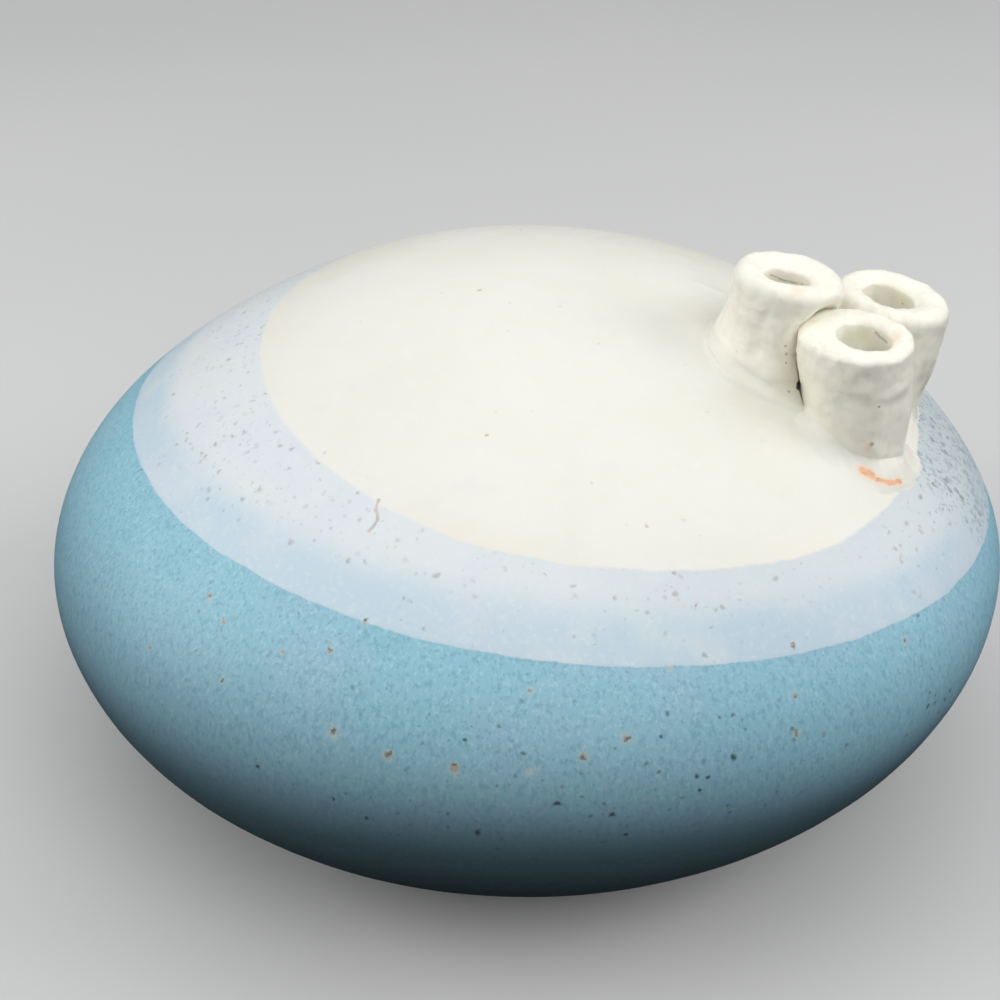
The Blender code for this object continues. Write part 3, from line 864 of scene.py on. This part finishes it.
        # ---- blue: cloudy, with fine dark and pale mottling
        below = g.ramp(e2, -24.0, -2.0)
        # painted shade: the blue darkens towards the foot from about z 46 mm down to 32 mm, less high on the right
        # and about 10 mm lower at the back
        low = g.math("ADD", split.outputs[2], g.math("MULTIPLY", g.math("MAXIMUM", split.outputs[0], 0.0), 0.09))
        behind = g.ramp(split.outputs[1], -14.0, 12.0)
        low = g.math("ADD", low, g.math("MULTIPLY", g.ramp(split.outputs[1], -12.0, 30.0), 10.0))
        blue = g.mix(below, g.mix(g.ramp(low, 32.0, 46.5), BLUE_PAINTED_FOOT_SHADE, BLUE_LOW), BLUE_HIGH)
        blue = g.mix(g.math("MULTIPLY", g.ramp(g.noise(24.0, 2.0), 0.42, 0.64, 0.0, 0.45), below), blue, BLUE_GREY)
        blue = g.mix(g.math("MULTIPLY", g.ramp(g.noise(7.0, 2.0), 0.50, 0.68, 0.0, 0.45), below), blue, BLUE_TEAL)
        calm = g.ramp(low, 34.0, 52.0, 0.45, 1.0)
        run = g.vmath("MULTIPLY", pos, (1.0, 1.0, 0.55))
        blue = g.mix(g.math("MULTIPLY", g.ramp(g.noise(0.58, 3.0, 0.65, run), 0.50, 0.66, 0.0, 0.60), calm), blue, PALER, "MULTIPLY")
        blue = g.mix(g.math("MULTIPLY", g.ramp(g.noise(0.72, 3.0, 0.65, run), 0.50, 0.64, 0.0, 0.62), calm), blue, DARKER, "MULTIPLY")
        spot, r2 = dots(0.95, 0.08, 0.24, 0.40, 0.16)
        blue = g.mix(g.math("MULTIPLY", spot, 0.75), blue, TICK, "MULTIPLY")
        spot, r2 = dots(1.30, 0.10, 0.26, 0.26, 0.18)
        blue = g.mix(g.math("MULTIPLY", g.math("MULTIPLY", spot, 0.45), calm), blue, PALER, "MULTIPLY")

        rust = g.nearest([(on_body(x, y), r) for x, y, r in RUST], warp)
        pits = g.nearest([(on_body(x, y), r) for x, y, r in PITS], warp)
        hair = g.stroke([on_body(*p) for p in HAIR], 0.25, mild)
        hair = g.math("ADD", hair, g.math("MULTIPLY", g.math("SUBTRACT", g.noise(0.9, 2.0), 0.5), 1.8))
        ragged = g.math("MULTIPLY", g.math("SUBTRACT", g.noise(0.55, 2.0, 0.6), 0.5), 1.6)
        rust, pits = g.math("ADD", rust, g.math("MULTIPLY", ragged, 1.35)), g.math("ADD", pits, g.math("MULTIPLY", ragged, 0.5))
        core = g.ramp(rust, 0.40, 1.05, 1.0, 0.0)
        halo = g.ramp(rust, 0.8, 2.2, 0.26, 0.0)
        pit = g.ramp(pits, 0.20, 1.35, 1.0, 0.0)

        grit = 0.07
        for px, py, reach in GRIT:
            grit = g.math("MAXIMUM", g.math("MULTIPLY", within(px, py, reach), 0.50), grit)
        spot, r2 = dots(1.75, 0.16, 0.44, grit, 0.22)
        blue = g.mix(g.math("MULTIPLY", spot, 0.70), blue, g.mix(r2, (0.05, 0.10, 0.12), (0.10, 0.12, 0.12)))
        wild, r2 = dots(5.2, 0.20, 0.46, 0.20, 0.3)
        blue = g.mix(g.math("MULTIPLY", wild, 0.55), blue, (0.22, 0.17, 0.13))
        blue = g.mix(halo, blue, (0.58, 0.58, 0.48))
        # the same spots, scattered, round the back
        iron, r2 = dots(4.8, 0.30, 0.60, g.math("MULTIPLY", behind, 0.50), 0.3, loose)
        blue = g.mix(g.math("MULTIPLY", iron, 0.85), blue, g.mix(r2, (0.11, 0.085, 0.07), (0.43, 0.30, 0.21)))
        sunk = g.math("MULTIPLY", behind, g.ramp(split.outputs[2], 44.0, 54.0, 0.50, 0.12))
        hollow, r2 = dots(4.2, 0.24, 0.50, sunk, 0.3, loose)
        blue = g.mix(g.math("MULTIPLY", hollow, 0.80), blue, (0.045, 0.07, 0.08))

        straw = g.math("ADD", g.nearest([(on_body(x, y), r) for x, y, r in STRAW], warp), ragged)
        colour = g.mix(in_band, blue, band)
        # painted shade: band and blue made darker towards the right side, from x -18 to 42 mm
        colour = g.mix(g.ramp(split.outputs[0], -18.0, 42.0), colour, (0.885, 0.90, 0.915), "MULTIPLY")
        colour = g.mix(g.ramp(straw, 0.2, 1.2, 0.34, 0.0), colour, (0.62, 0.63, 0.44))
        colour = g.mix(in_cream, colour, cream)
        lone, r2 = dots(7.5, 0.20, 0.42, 0.36, 0.25)
        colour = g.mix(g.math("MULTIPLY", lone, 0.7), colour, (0.36, 0.22, 0.15))
        warm = g.mix(g.ramp(g.noise(0.7, 2.0), 0.38, 0.60), (0.095, 0.080, 0.072), (0.43, 0.30, 0.21))
        colour = g.mix(g.math("MULTIPLY", core, 0.80), colour, warm)
        colour = g.mix(g.math("MULTIPLY", pit, 0.88), colour, (0.035, 0.042, 0.045))
        colour = g.mix(g.ramp(hair, 0.4, 1.5, 0.58, 0.0), colour, g.mix(g.ramp(g.noise(2.2, 1.0), 0.38, 0.60), (0.33, 0.30, 0.28), (0.60, 0.40, 0.31)))
        colour = g.mix(glow, colour, (0.92, 0.70, 0.50))
        colour = g.mix(burn, colour, g.mix(g.ramp(g.noise(1.6, 2.0), 0.40, 0.62), (0.90, 0.50, 0.30), (0.74, 0.30, 0.15)))

        # bare clay under the foot
        bare = g.ramp(g.math("ADD", split.outputs[2], g.math("MULTIPLY", tooth, 0.8)), 0.75, 1.15, 1.0, 0.0)
        clay = g.mix(g.ramp(g.noise(5.0, 4.0, 0.6), 0.35, 0.7), (0.47, 0.39, 0.31), (0.60, 0.52, 0.43))
        spot, r2 = dots(2.2, 0.20, 0.50, 0.45, 0.2)
        clay = g.mix(g.math("MULTIPLY", spot, 0.7), clay, (0.14, 0.09, 0.06))
        colour = g.mix(bare, colour, clay)

        rough = g.ramp(fine, 0.3, 0.7, 0.42, 0.56)
        rough = g.math("ADD", rough, g.math("MULTIPLY", bare, 0.35), clamp=True)
        height = g.math("ADD", g.math("MULTIPLY", g.noise(4.0, 3.0), 0.5), g.math("MULTIPLY", fine, 0.22))
        height = g.math("ADD", height, g.math("MULTIPLY", g.ramp(s1, -0.3, 0.3), 0.35))
        height = g.math("ADD", height, g.math("MULTIPLY", g.ramp(s2, -0.3, 0.3), 0.35))

    g.feed(g.shader.inputs["Base Color"], colour)
    g.feed(g.shader.inputs["Roughness"], rough)
    g.link(g.bump(height, 0.00012, 0.6), g.shader.inputs["Normal"])
    g.shader.inputs["Specular IOR Level"].default_value = 0.30
    g.shader.inputs["IOR"].default_value = 1.5
    return g.mat


body_glaze = glaze("body_glaze", "body")
spout_glaze = glaze("spout_glaze", "spout")


def finish_piece(obj, node, material):
    obj.data.materials.clear()
    obj.data.materials.append(material)
    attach(obj, "root")
    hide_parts(node)


finish_piece(upper_piece, "upper_shell", body_glaze)
finish_piece(lower_piece, "lower_shell", body_glaze)
finish_piece(seam_piece, "seam_coil", body_glaze)
for name in SPOUTS:
    finish_piece(spout_pieces[name], "spout_" + name, spout_glaze)
    finish_piece(collar_pieces[name], "collar_" + name, spout_glaze)

# ------------------------------------------------------------------ floor, light
bm = bmesh.new()
bmesh.ops.create_grid(bm, x_segments=2, y_segments=2, size=10.0)
mesh = bpy.data.meshes.new("floor")
bm.to_mesh(mesh)
bm.free()
floor = bpy.data.objects.new("floor", mesh)
floor.location = (0.0, 0.0, -0.0002)
bpy.context.scene.collection.objects.link(floor)
f = Nodes("floor_paper")
tone = f.mix(f.ramp(f.noise(300.0, 1.0), 0.3, 0.7), (0.60, 0.60, 0.60), (0.62, 0.62, 0.615))
# past the pool of light the paper is evenly lit from behind
far = f.ramp(f.vmath("LENGTH", f.pos), 420.0, 1000.0)
f.feed(f.shader.inputs["Base Color"], f.mix(far, tone, (0.0, 0.0, 0.0)))
f.shader.inputs["Emission Color"].default_value = (0.50, 0.50, 0.50, 1.0)
f.feed(f.shader.inputs["Emission Strength"], far)
f.shader.inputs["Roughness"].default_value = 0.9
f.shader.inputs["Specular IOR Level"].default_value = 0.2
mesh.materials.append(f.mat)
# little of the paper's light comes back up on the belly
floor.visible_diffuse = False
floor.visible_glossy = False

# pale backdrop all round; it is only seen, and lights nothing
bm = bmesh.new()
bmesh.ops.create_uvsphere(bm, u_segments=64, v_segments=32, radius=9.0)
mesh = bpy.data.meshes.new("backdrop")
bm.to_mesh(mesh)
bm.free()
backdrop = bpy.data.objects.new("backdrop", mesh)
bpy.context.scene.collection.objects.link(backdrop)
b = Nodes("backdrop_paper")
up = b.tree.nodes.new("ShaderNodeSeparateXYZ")
b.link(b.pos, up.inputs[0])
b.shader.inputs["Base Color"].default_value = (0.0, 0.0, 0.0, 1.0)
b.shader.inputs["Specular IOR Level"].default_value = 0.0
b.shader.inputs["Emission Color"].default_value = (0.50, 0.50, 0.50, 1.0)
b.feed(b.shader.inputs["Emission Strength"], b.ramp(up.outputs[2], 0.0, 5000.0, 1.0, 1.2))
mesh.materials.append(b.mat)
for seen_by in ("diffuse", "glossy", "transmission", "volume_scatter", "shadow"):
    setattr(backdrop, "visible_" + seen_by, False)


def area(name, place, aim, size, power, colour=(1.0, 1.0, 1.0)):
    data = bpy.data.lights.new(name, "AREA")
    data.shape = "DISK"
    data.size = size
    data.energy = power
    data.color = colour
    obj = bpy.data.objects.new(name, data)
    obj.location = place
    obj.rotation_euler = (Vector(aim) - Vector(place)).to_track_quat("-Z", "Y").to_euler()
    bpy.context.scene.collection.objects.link(obj)


area("key", (0.02, -0.15, 0.94), (0.0, 0.0, 0.05), 1.20, 2.6)
area("front", (0.36, -0.76, 0.78), (0.0, 0.0, 0.05), 0.70, 3.1)
area("side_left", (-0.94, -0.08, 0.46), (0.0, 0.0, 0.05), 0.70, 4.3)
area("side_right", (0.94, -0.08, 0.46), (0.0, 0.0, 0.05), 0.70, 4.0)

# soft dome of light: bright overhead, dim at the horizon, dark below
world = bpy.data.worlds.new("studio")
bpy.context.scene.world = world
world.use_nodes = True
tree = world.node_tree
back = tree.nodes["Background"]
where = tree.nodes.new("ShaderNodeTexCoord")
parts = tree.nodes.new("ShaderNodeSeparateXYZ")
tree.links.new(where.outputs["Generated"], parts.inputs[0])
rise = tree.nodes.new("ShaderNodeMapRange")
rise.interpolation_type = "SMOOTHSTEP"
rise.inputs["From Min"].default_value = 0.12
rise.inputs["From Max"].default_value = 0.55
rise.inputs["To Min"].default_value = 0.02
rise.inputs["To Max"].default_value = 0.52
tree.links.new(parts.outputs["Z"], rise.inputs["Value"])
tree.links.new(rise.outputs["Result"], back.inputs["Strength"])
back.inputs["Color"].default_value = (0.98, 0.99, 1.0, 1.0)

bpy.context.scene.view_settings.view_transform = "Standard"
bpy.context.scene.view_settings.look = "None"
